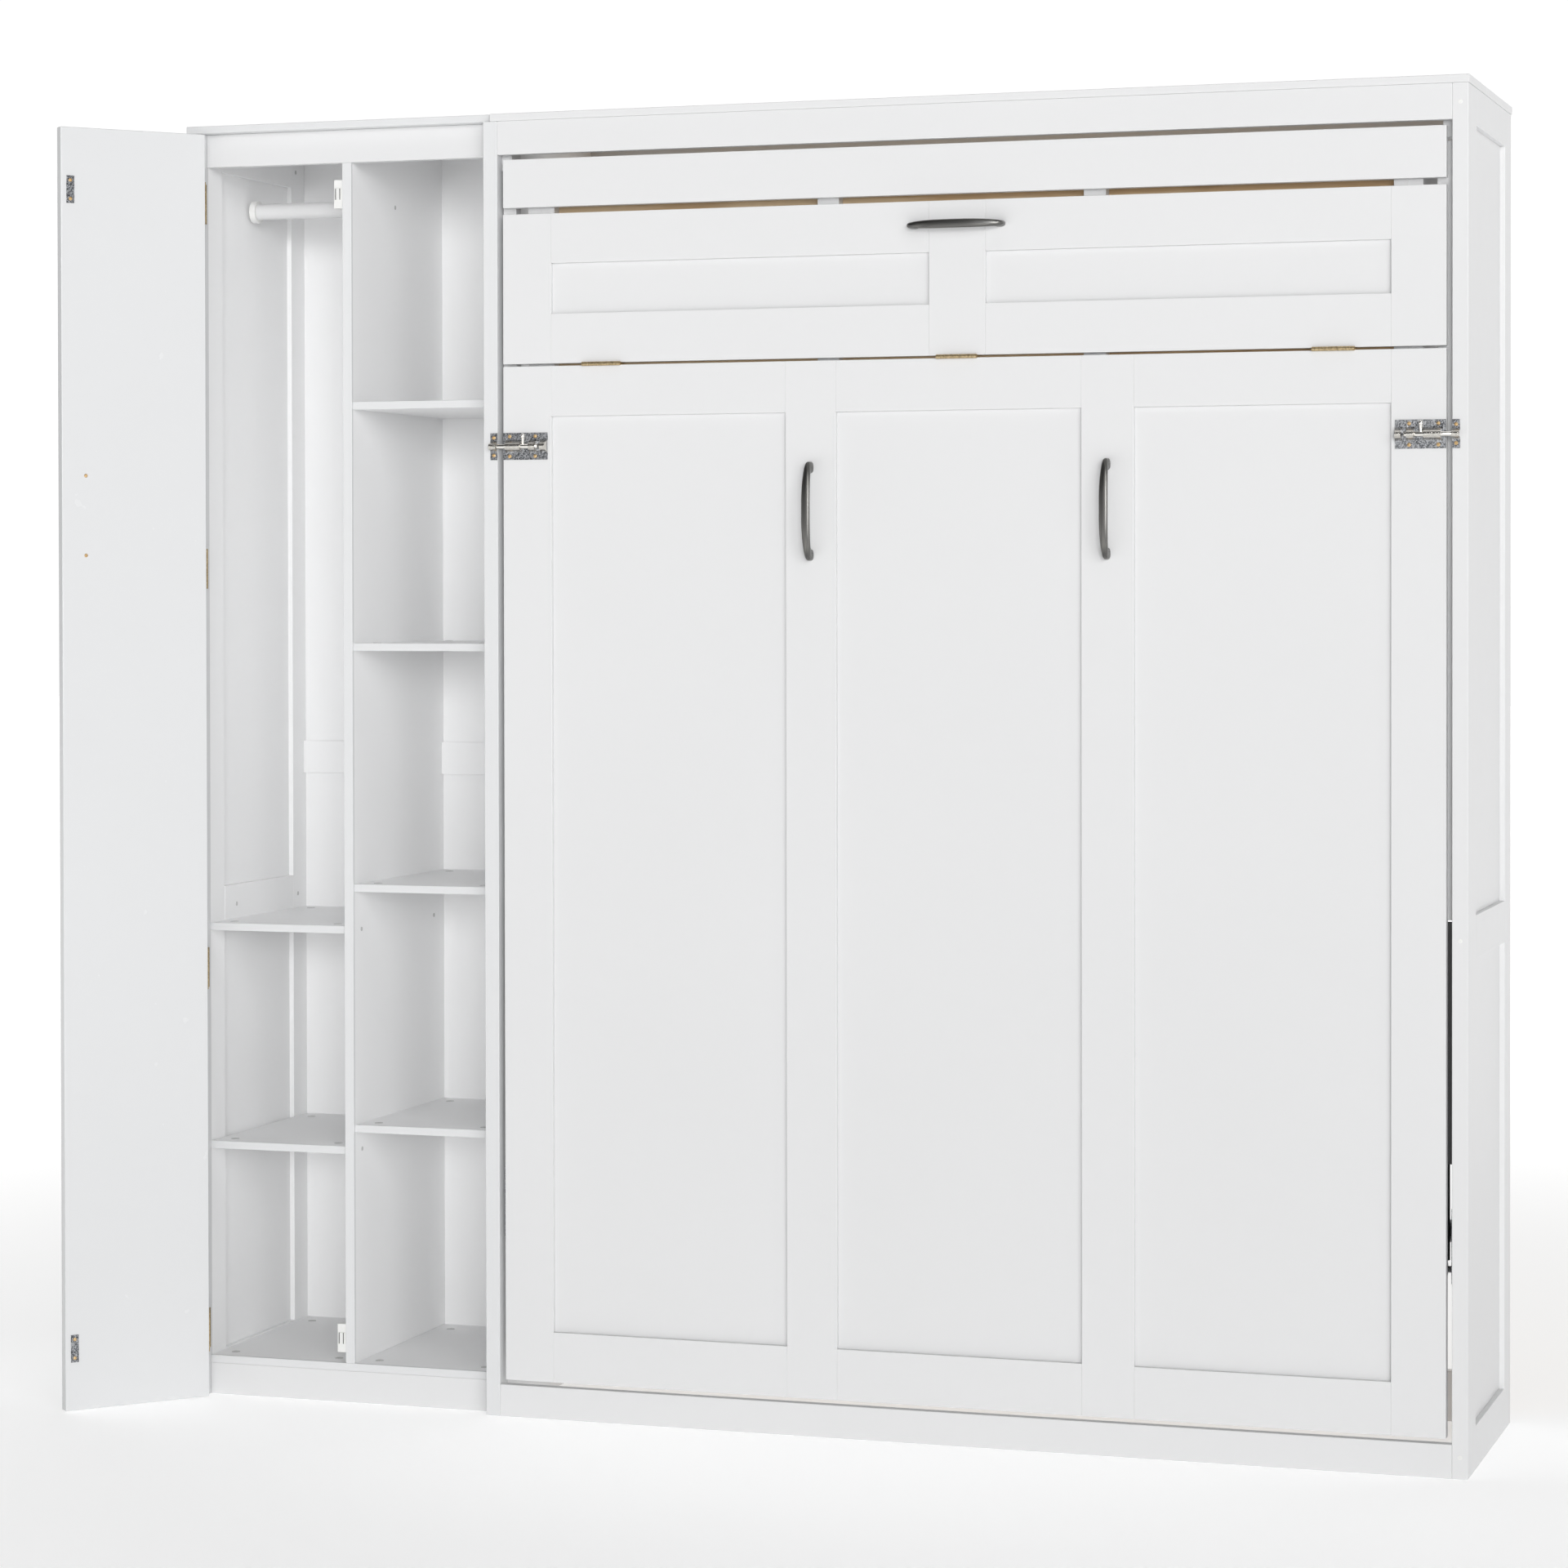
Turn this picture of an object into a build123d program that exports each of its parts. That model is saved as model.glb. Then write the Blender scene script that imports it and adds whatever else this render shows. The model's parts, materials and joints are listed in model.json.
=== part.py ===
from build123d import *
import os

# Murphy wall bed with a wardrobe on its left, all in millimetres.
# X runs to the viewer's right, +Y towards the wall and +Z up. The origin is on the floor, on the wall
# line, under the middle of the bed cabinet. A depth d is counted back from the bed's front plane.

# ---- driving dimensions ----
MATTRESS_W = 1372.0
MATTRESS_L = 1905.0
HEIGHT = 2080.0
DEPTH = 440.0
SIDE_T = 24.0
TOP_T = 12.0
RAIL_T = 16.0
PANEL_T = 18.0
BOARD_T = 12.5
SKIN_T = 8.0

# ---- bed frame and front panel ----
RAIL_SIDE_T = 22.0
STRUT_SPACE = 46.0
BED_W = MATTRESS_W + 12 + 2 * (RAIL_SIDE_T + STRUT_SPACE + SIDE_T)
BED_X = BED_W / 2
INNER_X = BED_X - SIDE_T
PANEL_GAP = 9.0
PANEL_X = INNER_X - PANEL_GAP
PANEL_D = 2.0
STILE_W = 82.0
INSET_STEP = 7.0
INSET_T = 7.0
CEILING = HEIGHT - TOP_T
FRONT_TOP_RAIL_H = 53.5
FRONT_BOTTOM_RAIL_H = 51.5
MAIN_Z0 = 59.0
MAIN_Z1 = 1677.0
MAIN_RAIL_H = 80.0
HINGE_GAP = 4.0
LEG_Z0 = MAIN_Z1 + HINGE_GAP
LEG_Z1 = 1919.0
LEG_T = PANEL_T - 1
LEG_RAIL_H = 79.0
FOOT_BOARD_Z0 = 1929.5
FOOT_BOARD_Z1 = 2006.5
FRAME_D = PANEL_D + PANEL_T
FRAME_DEEP = 150.0
FRAME_Z0 = 62.0
FRAME_Z1 = FRAME_Z0 + MATTRESS_L + 2 * PANEL_T
RAIL_X0 = MATTRESS_W / 2 + 6
RAIL_X1 = RAIL_X0 + RAIL_SIDE_T
CLEAT = 22.0
SLAT_T = 18.0
SLAT_W = 80.0
SLAT_COUNT = 14
SLAT_PITCH = 135.0
SLAT_TOP_Z = 1925.0
STRIP_PAST = 6.0
STRIP_W = 22.0
STRIP_DEEP = 20.0
STRIP_Z0 = 828.0
STRIP_Z1 = 1985.0
BATTEN_X = 213.0
BATTEN_W = 35.0

# ---- pivots and gas struts ----
KNUCKLE_OUT = 3.8
PIVOT_D = 110.0
PIVOT_Z = PIVOT_D - PANEL_D + KNUCKLE_OUT + (LEG_Z1 - MAIN_Z1 - HINGE_GAP / 2) + 0.3
PIVOT_R = 8.0
RUNNING = 0.06
PLATE_T = 4.0
PLATE_BELOW = 66.0
PLATE_ABOVE = 46.0
STRUT_X = INNER_X - STRUT_SPACE / 2
STRUT_ARM = 50.0
STRUT_L = 380.0
STRUT_D = PIVOT_D - STRUT_ARM
STRUT_FOOT_Z = PIVOT_Z - STRUT_ARM
STRUT_HEAD_Z = STRUT_FOOT_Z + STRUT_L
STRUT_R = 11.0
STRUT_ROD_R = 5.0
STRUT_TUBE_L = 240.0
STRUT_ROD_L = 255.0
EYE_R = 11.0
EYE_W = 14.0
ROD_EYE_R = 10.0
ROD_EYE_W = 6.0
STUD_R = 5.0
FLANGE_R = 9.0
FLANGE_T = 4.0
BOLT_HEAD_R = 13.0
BOLT_HEAD_T = 6.0
BOLT_SINK = 8.0
BRACKET = (50.0, 60.0)
BRACKET_T = 3.0
GUARD_T = 3.0
GUARD_Z0 = 465.0
GUARD_GAP = 2.0

# ---- side frames ----
POST_DEEP = 78.0
BACK_STILE_W = 64.0
LEFT_BACK_STILE_W = 88.0
SIDE_MID_Z0 = 767.0
SIDE_MID_Z1 = 832.0
SIDE_TOP_RAIL_H = 56.0
SIDE_BOTTOM_RAIL_H = 66.0

# ---- wardrobe ----
WARDROBE_W = 524.0
WARDROBE_D = 8.0
OUTER_X = -BED_X - WARDROBE_W
LEFT_X = OUTER_X + SIDE_T
BAY_D = 28.0
BACK_D = 404.0
DIVIDER_T = 16.0
DIVIDER_X = (LEFT_X - BED_X) / 2
FLOOR_Z = FRONT_BOTTOM_RAIL_H + BOARD_T
RIGHT_SHELF_Z = 440.0
RIGHT_SHELF_PITCH = 391.5
RIGHT_SHELF_COUNT = 4
LEFT_SHELF_Z = (404.0, 763.0)
SHELF_D = 32.0
BACK_RAIL_Z0 = 1007.0
BACK_RAIL_Z1 = 1062.0
ROD_R = 13.5
ROD_D = 205.0
ROD_Z = 1957.0
CATCH_Z = (104.0, 1964.0)
CATCH_W = 15.0
CATCH_H = 46.0

# ---- wardrobe door ----
DOOR_T = 18.0
DOOR_Z0 = 4.0
DOOR_Z1 = 2064.0
DOOR_OPEN = 132.0
DOOR_PIN_X = LEFT_X + HINGE_GAP / 2
DOOR_PIN_D = WARDROBE_D - 5.0
DOOR_HINGE_Z = (110.0, 703.0, 1357.0, 1954.0)
DOOR_PULL_Z = 1442.0

# ---- hardware ----
HINGE_L = 65.0
LEAF_T = 1.4
PULL_L = 154.0
PULL_RISE = 30.0
PULL_SHOULDER = 21.0
PULL_T = 5.5
PULL_W = 13.5
PULL_END_W = 9.0
PULL_FOOT = 18.0
PULL_FOOT_LEAN = 3.0
PULL_CHAMFER = 8.0
PULL_Z = 1443.0
LEG_PULL_Z = 1881.0
LEG_HINGE_INSET = 168.0
BOLT_Z = 1550.0
BOLT_R = 4.0
BOLT_PLATE_L = 76.0
BOLT_PLATE_H = 43.0
BOLT_LIFT = 7.5
BOLT_REACH = 20.0
BOLT_KNOB = 36.5
BOLT_BARRELS = ((6.5, 33.0), (46.5, 58.0), (65.5, 75.5))
BOLT_SCREW_X = (11.5, 55.0)
BOLT_SCREW_Z = 15.8
BARREL_T = 2.8
STEM_R = 2.6
KNOB_R = 3.6
KEEPER_W = 12.0


def board(x0, x1, d0, d1, z0, z1):
    """A board between two X faces, two depths and two heights."""
    middle = Pos((x0 + x1) / 2, (d0 + d1) / 2 - DEPTH, (z0 + z1) / 2)
    return middle * Box(abs(x1 - x0), abs(d1 - d0), abs(z1 - z0))


def bar(p, q, r):
    """A round bar of radius r between two points given as (x, d, z)."""
    start = Vector(p[0], p[1] - DEPTH, p[2])
    run = Vector(q[0], q[1] - DEPTH, q[2]) - start
    return Plane(origin=start, z_dir=run) * Pos(0, 0, run.length / 2) * Cylinder(r, run.length)


def group(solids):
    """Separate solids kept together in one node."""
    return Compound(children=list(solids))


def at_door(shape):
    """Swing a shape drawn on the closed door to the open rest pose."""
    pin = Axis((DOOR_PIN_X, DOOR_PIN_D - DEPTH, 0), (0, 0, 1))
    return shape.rotate(pin, -DOOR_OPEN)


# ---- cabinet ----
def side_frame(x0, back_stile_w, front_d):
    """Back stile and three rails of a side frame, behind its front post."""
    x1 = x0 + SIDE_T
    d0 = front_d + POST_DEEP
    d1 = DEPTH - back_stile_w
    return group([
        board(x0, x1, d1, DEPTH, 0, CEILING),
        board(x0, x1, d0, d1, CEILING - SIDE_TOP_RAIL_H, CEILING),
        board(x0, x1, d0, d1, SIDE_MID_Z0, SIDE_MID_Z1),
        board(x0, x1, d0, d1, 0, SIDE_BOTTOM_RAIL_H),
    ])


def side_panels(x0, back_stile_w, front_d):
    """Two thin panels set in the middle of a side frame's thickness."""
    x1 = x0 + (SIDE_T - SKIN_T) / 2
    x2 = x1 + SKIN_T
    d0 = front_d + POST_DEEP
    d1 = DEPTH - back_stile_w
    return group([
        board(x1, x2, d0, d1, SIDE_BOTTOM_RAIL_H, SIDE_MID_Z0),
        board(x1, x2, d0, d1, SIDE_MID_Z1, CEILING - SIDE_TOP_RAIL_H),
    ])


def front_post(x0, front_d):
    """The full-height post at the front of a side frame."""
    return board(x0, x0 + SIDE_T, front_d, front_d + POST_DEEP, 0, CEILING)


def divider():
    """Upright between the two columns, notched behind the top and bottom front rails."""
    x0 = DIVIDER_X - DIVIDER_T / 2
    x1 = x0 + DIVIDER_T
    body = board(x0, x1, BAY_D + RAIL_T, BACK_D, FLOOR_Z, CEILING)
    lip = board(x0, x1, BAY_D, BAY_D + RAIL_T, FLOOR_Z, CEILING - FRONT_TOP_RAIL_H)
    return body + lip


def wardrobe_back():
    """Upper and lower back panels with the rails that cover their joint in each column."""
    joint = (BACK_RAIL_Z0 + BACK_RAIL_Z1) / 2
    half = DIVIDER_T / 2
    return group([
        board(LEFT_X, -BED_X, BACK_D, BACK_D + SKIN_T, FRONT_BOTTOM_RAIL_H, joint),
        board(LEFT_X, -BED_X, BACK_D, BACK_D + SKIN_T, joint, CEILING),
        board(LEFT_X, DIVIDER_X - half, BACK_D - SKIN_T, BACK_D, BACK_RAIL_Z0, BACK_RAIL_Z1),
        board(DIVIDER_X + half, -BED_X, BACK_D - SKIN_T, BACK_D, BACK_RAIL_Z0, BACK_RAIL_Z1),
    ])


def wall_rail():
    """Top back rail with the two holes that fix the cabinet to the wall."""
    rail = board(-INNER_X, INNER_X, DEPTH - 20, DEPTH, CEILING - 100, CEILING)
    for x in (-600, 600):
        rail -= bar((x, DEPTH - 21, CEILING - 50), (x, DEPTH + 1, CEILING - 50), 4)
    return rail


def rod_sockets():
    """Cup on each side of the hanging bay that holds an end of the rod."""
    cups = []
    for x, way in ((LEFT_X, 1), (DIVIDER_X - DIVIDER_T / 2, -1)):
        cup = bar((x, ROD_D, ROD_Z), (x + way * 10, ROD_D, ROD_Z), ROD_R + 5)
        cups.append(cup - bar((x + way * 3, ROD_D, ROD_Z), (x + way * 11, ROD_D, ROD_Z), ROD_R))
    return group(cups)


def catches():
    """Magnetic catch blocks on the divider, with a magnet bar standing out of the face of each."""
    x1 = DIVIDER_X - DIVIDER_T / 2
    x0 = x1 - CATCH_W
    face = BAY_D + 1.6
    return group(
        board(x0, x1, face, BAY_D + 24, z - CATCH_H / 2, z + CATCH_H / 2)
        + board(x0 + 2, x1 - 2, BAY_D - 0.4, face, z - 9, z + 9)
        for z in CATCH_Z
    )


def pivot_plate(s):
    """Steel plate with a bearing boss that carries one end of the bed."""
    def along(x0, x1, r):
        return bar((s * x0, PIVOT_D, PIVOT_Z), (s * x1, PIVOT_D, PIVOT_Z), r)
    face = INNER_X - PLATE_T
    low, high = PIVOT_Z - PLATE_BELOW, PIVOT_Z + PLATE_ABOVE
    plate = board(s * face, s * INNER_X, 22, 166, low, high)
    return plate + along(face - 18, face, 17) - along(face - 19, INNER_X + 1, PIVOT_R + RUNNING)


def strut_foot(s):
    """Flanged stud on the pivot plate that the foot of a gas strut turns on."""
    def along(x0, x1, r):
        return bar((s * x0, STRUT_D, STRUT_FOOT_Z), (s * x1, STRUT_D, STRUT_FOOT_Z), r)
    face = INNER_X - PLATE_T
    return along(STRUT_X - EYE_W, face, STUD_R) + along(face - FLANGE_T, face, FLANGE_R)


def keeper(s):
    """Strap on the post front that the barrel bolt shoots into."""
    x0 = s * INNER_X
    x1 = s * (INNER_X + KEEPER_W)
    axis_d = PANEL_D - BOLT_LIFT
    inner = BOLT_R + 0.3
    outer = inner + 1.4
    strap = board(x0, x1, axis_d, 0, BOLT_Z - outer, BOLT_Z + outer)
    strap += bar((x0, axis_d, BOLT_Z), (x1, axis_d, BOLT_Z), outer)
    strap += board(x0, x1, -1.2, 0, BOLT_Z - BOLT_PLATE_H / 2, BOLT_Z + BOLT_PLATE_H / 2)
    strap -= board(x0 - s, x1 + s, axis_d, 1, BOLT_Z - inner, BOLT_Z + inner)
    return strap - bar((x0 - s, axis_d, BOLT_Z), (x1 + s, axis_d, BOLT_Z), inner)


# ---- hinges, pulls and screws ----
def hinge_half(start, end, side, pinned, radius):
    """Half of a butt hinge with its pin along X at the origin and its leaf along +Y, above or below.

    Five knuckles share the length. The pinned half has the outer and middle ones and the pin,
    and the other half has the two between, bored to turn on it."""
    step = HINGE_L / 5
    own = (0, 2, 4) if pinned else (1, 3)
    inner = HINGE_GAP / 2 - LEAF_T
    z0, z1 = sorted((side * inner, side * HINGE_GAP / 2))
    half = Pos(0, (start + end) / 2, (z0 + z1) / 2) * Box(HINGE_L, end - start, LEAF_T)
    for i in own:
        x = -HINGE_L / 2 + (i + 0.5) * step
        half += Pos(x, 0, 0) * Rot(0, 90, 0) * Cylinder(radius, step - 0.4)
        half += Pos(x, start / 2, (z0 + z1) / 2) * Box(step - 0.4, start, LEAF_T)
    pin = Rot(0, 90, 0) * Cylinder(1.5, HINGE_L)
    bore = Rot(0, 90, 0) * Cylinder(1.5 + RUNNING, HINGE_L + 2)
    return half + pin if pinned else half - bore


def leg_hinges(side, pinned):
    """Three hinge halves along the gap under the leg."""
    z = MAIN_Z1 + HINGE_GAP / 2
    half = hinge_half(KNUCKLE_OUT, KNUCKLE_OUT + 15, side, pinned, 3.3)
    return group(
        Pos(x, PANEL_D - KNUCKLE_OUT - DEPTH, z) * half
        for x in (-PANEL_X + LEG_HINGE_INSET, 0, PANEL_X - LEG_HINGE_INSET)
    )


def door_hinges(side, pinned):
    """Four hinge halves up the wardrobe door's pin line, drawn on the closed door."""
    half = Rot(0, -90, 0) * hinge_half(5, 5 + DOOR_T - 1, side, pinned, 4)
    return group(Pos(DOOR_PIN_X, DOOR_PIN_D - DEPTH, z) * half for z in DOOR_HINGE_Z)


def pull():
    """Bow pull along X, standing on the plane Y = 0 and rising towards -Y.

    Its side view is a shallow arc between two shoulders with a foot under each, and its front
    view is widest in the middle and narrows to round ends."""
    half = PULL_L / 2
    top = half - PULL_CHAMFER
    arch = ThreePointArc((-top, -PULL_SHOULDER), (0, -PULL_RISE), (top, -PULL_SHOULDER))
    under = PULL_SHOULDER - PULL_T + 1
    neck = PULL_SHOULDER - 2 * PULL_T
    foot = half - PULL_FOOT
    inner = foot - PULL_FOOT_LEAN
    in_arch = ThreePointArc((inner, -under), (0, PULL_T - PULL_RISE), (-inner, -under))
    end = [(top, -PULL_SHOULDER), (half, -neck), (half, 0), (foot, 0), (inner, -under)]
    ends = [Polyline(*((s * x, y) for x, y in end)) for s in (-1, 1)]
    side_view = extrude(make_face(arch + ends[0] + in_arch + ends[1]), PULL_W / 2, both=True)
    wide, tip = PULL_W / 2, PULL_END_W / 2
    square = half - tip
    upper = ThreePointArc((-square, tip), (0, wide), (square, tip))
    lower = ThreePointArc((square, -tip), (0, -wide), (-square, -tip))
    right_end = ThreePointArc((square, tip), (half, 0), (square, -tip))
    left_end = ThreePointArc((-square, -tip), (-half, 0), (-square, tip))
    front_view = Rot(90, 0, 0) * extrude(make_face(upper + right_end + lower + left_end), PULL_RISE + 1)
    return side_view & front_view


def upright_pull():
    """The bow pull turned to stand upright."""
    return Rot(0, 90, 0) * pull()


def screw_head(r):
    """Domed screw head standing on Y = 0 towards -Y, with a cross recess."""
    rise = 0.45 * r
    ball = (r * r + rise * rise) / (2 * rise)
    dome = Rot(90, 0, 0) * Cylinder(r, rise, align=(Align.CENTER, Align.CENTER, Align.MIN))
    dome &= Pos(0, ball - rise, 0) * Sphere(ball)
    slot = Box(r * 1.1, rise, r * 0.28)
    cross = Pos(0, -rise, 0) * (slot + Rot(0, 90, 0) * slot)
    return dome - cross


def heads(points, r):
    """Screw heads facing the front at points given as (x, d, z)."""
    head = screw_head(r)
    return [Pos(x, d - DEPTH, z) * head for x, d, z in points]


# ---- bed ----
def front_frame():
    """Four stiles with a top and a bottom rail between each pair, and a strip behind each side
    that covers the gap beside the panel above the gas struts."""
    d0, d1 = PANEL_D, FRAME_D
    pitch = (2 * PANEL_X - STILE_W) / 3
    pieces = []
    for i in range(4):
        x = -PANEL_X + i * pitch
        pieces.append(board(x, x + STILE_W, d0, d1, MAIN_Z0, MAIN_Z1))
    for i in range(3):
        x0 = -PANEL_X + i * pitch + STILE_W
        x1 = x0 + pitch - STILE_W
        pieces.append(board(x0, x1, d0, d1, MAIN_Z1 - MAIN_RAIL_H, MAIN_Z1))
        pieces.append(board(x0, x1, d0, d1, MAIN_Z0, MAIN_Z0 + MAIN_RAIL_H))
    for s in (-1, 1):
        x = s * (PANEL_X + STRIP_PAST)
        pieces.append(board(x, x - s * STRIP_W, FRAME_D, FRAME_D + STRIP_DEEP, STRIP_Z0, STRIP_Z1))
    return group(pieces)


def front_insets():
    """The three thin panels between the stiles, set back from the frame's face."""
    d0 = PANEL_D + INSET_STEP
    pitch = (2 * PANEL_X - STILE_W) / 3
    z0, z1 = MAIN_Z0 + MAIN_RAIL_H, MAIN_Z1 - MAIN_RAIL_H
    return group(
        board(-PANEL_X + i * pitch + STILE_W, -PANEL_X + (i + 1) * pitch, d0, d0 + INSET_T, z0, z1)
        for i in range(3)
    )


def bed_rail(s):
    """Side rail of the bed frame with the sunk hole for its pivot bolt."""
    def along(x0, x1, r):
        return bar((s * x0, PIVOT_D, PIVOT_Z), (s * x1, PIVOT_D, PIVOT_Z), r)
    rail = board(s * RAIL_X0, s * RAIL_X1, FRAME_D, FRAME_D + FRAME_DEEP, FRAME_Z0, FRAME_Z1)
    hole = along(RAIL_X0 - 1, RAIL_X1 + 1, PIVOT_R)
    return rail - hole - along(RAIL_X0 - 1, RAIL_X0 + BOLT_SINK, BOLT_HEAD_R)


def end_rails():
    """Head and foot rails between the side rails."""
    d1 = FRAME_D + FRAME_DEEP
    return group([
        board(-RAIL_X0, RAIL_X0, FRAME_D, d1, FRAME_Z0, FRAME_Z0 + PANEL_T),
        board(-RAIL_X0, RAIL_X0, FRAME_D, d1, FRAME_Z1 - PANEL_T, FRAME_Z1),
    ])


def slat_supports():
    """Cleats on the side rails and two long battens behind the front panel."""
    z0, z1 = FRAME_Z0 + PANEL_T, FRAME_Z1 - PANEL_T
    pieces = []
    for s in (-1, 1):
        pieces.append(board(s * (RAIL_X0 - CLEAT), s * RAIL_X0, FRAME_D, FRAME_D + CLEAT, z0, z1))
        middle = s * BATTEN_X
        pieces.append(board(middle - BATTEN_W / 2, middle + BATTEN_W / 2, FRAME_D, FRAME_D + CLEAT, z0, z1))
    return group(pieces)


def slats():
    """Cross slats that carry the mattress."""
    d0 = FRAME_D + CLEAT
    centres = [SLAT_TOP_Z - i * SLAT_PITCH for i in range(SLAT_COUNT)]
    half = SLAT_W / 2
    return group(board(2 - RAIL_X0, RAIL_X0 - 2, d0, d0 + SLAT_T, z - half, z + half) for z in centres)


def pivot_bolt(s):
    """Shoulder bolt through the side rail into the pivot plate, with its head sunk in the rail."""
    def along(x0, x1, r):
        return bar((s * x0, PIVOT_D, PIVOT_Z), (s * x1, PIVOT_D, PIVOT_Z), r)
    seat = RAIL_X0 + BOLT_SINK
    head = along(seat - BOLT_HEAD_T, seat, BOLT_HEAD_R)
    collar = along(RAIL_X1, RAIL_X1 + BOLT_HEAD_T, BOLT_HEAD_R)
    return along(seat - BOLT_HEAD_T, INNER_X - 1, PIVOT_R) + head + collar


def strut_head(s):
    """Bed-side bracket and the short stud that the strut's rod end sits against."""
    x1 = RAIL_X1 + BRACKET_T
    wide, high = BRACKET[0] / 2, BRACKET[1] / 2
    z = STRUT_HEAD_Z
    plate = board(s * RAIL_X1, s * x1, STRUT_D - wide, STRUT_D + wide, z - high, z + high)
    end = STRUT_X - ROD_EYE_W / 2 - 0.6
    return plate + bar((s * (x1 - 1), STRUT_D, z), (s * end, STRUT_D, z), STUD_R)


def strut_guard(s):
    """Steel plate behind the panel's outer stile that covers the gap in front of the gas strut."""
    edge = s * (PANEL_X + STRIP_PAST)
    return board(s * RAIL_X1, edge, FRAME_D, FRAME_D + GUARD_T, GUARD_Z0, STRIP_Z0 - GUARD_GAP)


def bolt_x(s, offset):
    """X of a point on a barrel bolt, counted in from the front panel's outer edge."""
    return s * (PANEL_X - offset)


def bolt_housing(s):
    """Barrel bolt plate with three short barrels, the middle one slotted on top to let the knob by."""
    axis_d = PANEL_D - BOLT_LIFT
    z0, z1 = BOLT_Z - BOLT_PLATE_H / 2, BOLT_Z + BOLT_PLATE_H / 2
    body = board(bolt_x(s, 0), bolt_x(s, BOLT_PLATE_L), PANEL_D - 1.5, PANEL_D, z0, z1)
    outer = BOLT_R + BARREL_T
    for a, b in BOLT_BARRELS:
        body += bar((bolt_x(s, a), axis_d, BOLT_Z), (bolt_x(s, b), axis_d, BOLT_Z), outer)
        body += board(bolt_x(s, a), bolt_x(s, b), axis_d, PANEL_D - 1, BOLT_Z - 6, BOLT_Z + 6)
    a, b = BOLT_BARRELS[1]
    slot = STEM_R + 0.4
    top = BOLT_Z + outer + 1
    body -= board(bolt_x(s, a - 1), bolt_x(s, b + 1), axis_d - slot, axis_d + slot, BOLT_Z, top)
    past = BOLT_PLATE_L + 4
    return body - bar((bolt_x(s, 0), axis_d, BOLT_Z), (bolt_x(s, past), axis_d, BOLT_Z), BOLT_R + RUNNING)


def bolt(s):
    """Sliding rod of a barrel bolt with its upright knob."""
    axis_d = PANEL_D - BOLT_LIFT
    rod = bar((bolt_x(s, -BOLT_REACH), axis_d, BOLT_Z), (bolt_x(s, 62), axis_d, BOLT_Z), BOLT_R)
    stem_x = bolt_x(s, BOLT_KNOB)
    rod += bar((stem_x, axis_d, BOLT_Z), (stem_x, axis_d, BOLT_Z + 17), STEM_R)
    return rod + Pos(stem_x, axis_d - DEPTH, BOLT_Z + 17) * Sphere(KNOB_R)


# ---- leg ----
def leg_frame():
    """Frame of the foot leg: two end stiles, a middle stile and four rails."""
    d0, d1 = PANEL_D, PANEL_D + LEG_T
    half = STILE_W / 2 + 4
    pieces = [
        board(-PANEL_X, -PANEL_X + STILE_W, d0, d1, LEG_Z0, LEG_Z1),
        board(-half, half, d0, d1, LEG_Z0, LEG_Z1),
        board(PANEL_X - STILE_W, PANEL_X, d0, d1, LEG_Z0, LEG_Z1),
    ]
    for s in (-1, 1):
        for z in (LEG_Z0, LEG_Z1 - LEG_RAIL_H):
            pieces.append(board(s * half, s * (PANEL_X - STILE_W), d0, d1, z, z + LEG_RAIL_H))
    return group(pieces)


def leg_insets():
    """The two thin panels of the leg."""
    d0 = PANEL_D + INSET_STEP
    half = STILE_W / 2 + 4
    z0, z1 = LEG_Z0 + LEG_RAIL_H, LEG_Z1 - LEG_RAIL_H
    return group(board(s * half, s * (PANEL_X - STILE_W), d0, d0 + INSET_T, z0, z1) for s in (-1, 1))


# ---- gas struts ----
def strut_tube(s):
    """Strut cylinder with its foot eye, bored for the rod."""
    x = s * STRUT_X
    half = EYE_W / 2
    z = STRUT_FOOT_Z
    top = z + STRUT_TUBE_L
    tube = bar((x, STRUT_D, z + 14), (x, STRUT_D, top), STRUT_R)
    tube -= bar((x, STRUT_D, z + 20), (x, STRUT_D, top + 1), STRUT_ROD_R + RUNNING)
    tube += bar((x - half, STRUT_D, z), (x + half, STRUT_D, z), EYE_R)
    tube += board(x - half, x + half, STRUT_D - 6, STRUT_D + 6, z + 8, z + 16)
    return tube - bar((x - EYE_W, STRUT_D, z), (x + EYE_W, STRUT_D, z), STUD_R + RUNNING)


def strut_rod(s):
    """Strut rod with its flat end eye."""
    x = s * STRUT_X
    half = ROD_EYE_W / 2
    z = STRUT_HEAD_Z
    rod = bar((x, STRUT_D, z - STRUT_ROD_L), (x, STRUT_D, z - 8), STRUT_ROD_R)
    rod += bar((x - half, STRUT_D, z), (x + half, STRUT_D, z), ROD_EYE_R)
    return rod - bar((x - ROD_EYE_W, STRUT_D, z), (x + ROD_EYE_W, STRUT_D, z), STUD_R + RUNNING)


# ---- wardrobe door ----
def door():
    """The plain slab door, drawn closed."""
    x0 = DOOR_PIN_X + HINGE_GAP / 2
    return board(x0, DIVIDER_X, WARDROBE_D, WARDROBE_D + DOOR_T, DOOR_Z0, DOOR_Z1)


def strikes():
    """Steel plates on the door's back that meet the magnets."""
    back = WARDROBE_D + DOOR_T
    x1 = DIVIDER_X - DIVIDER_T / 2
    return group(board(x1 - 14, x1 - 1, back, back + 1.2, z - 22, z + 22) for z in CATCH_Z)


def door_screws():
    """Screw heads on the door's back: two for the pull and two on each strike plate."""
    back = WARDROBE_D + DOOR_T
    x1 = DIVIDER_X - DIVIDER_T / 2
    turned = Rot(0, 0, 180) * screw_head(3.0)
    spots = [(DIVIDER_X - 40, back, DOOR_PULL_Z + z) for z in (-64, 64)]
    spots += [(x1 - 7.5, back + 1.2, z + dz) for z in CATCH_Z for dz in (-15, 15)]
    return group(Pos(x, d - DEPTH, z) * turned for x, d, z in spots)


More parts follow.
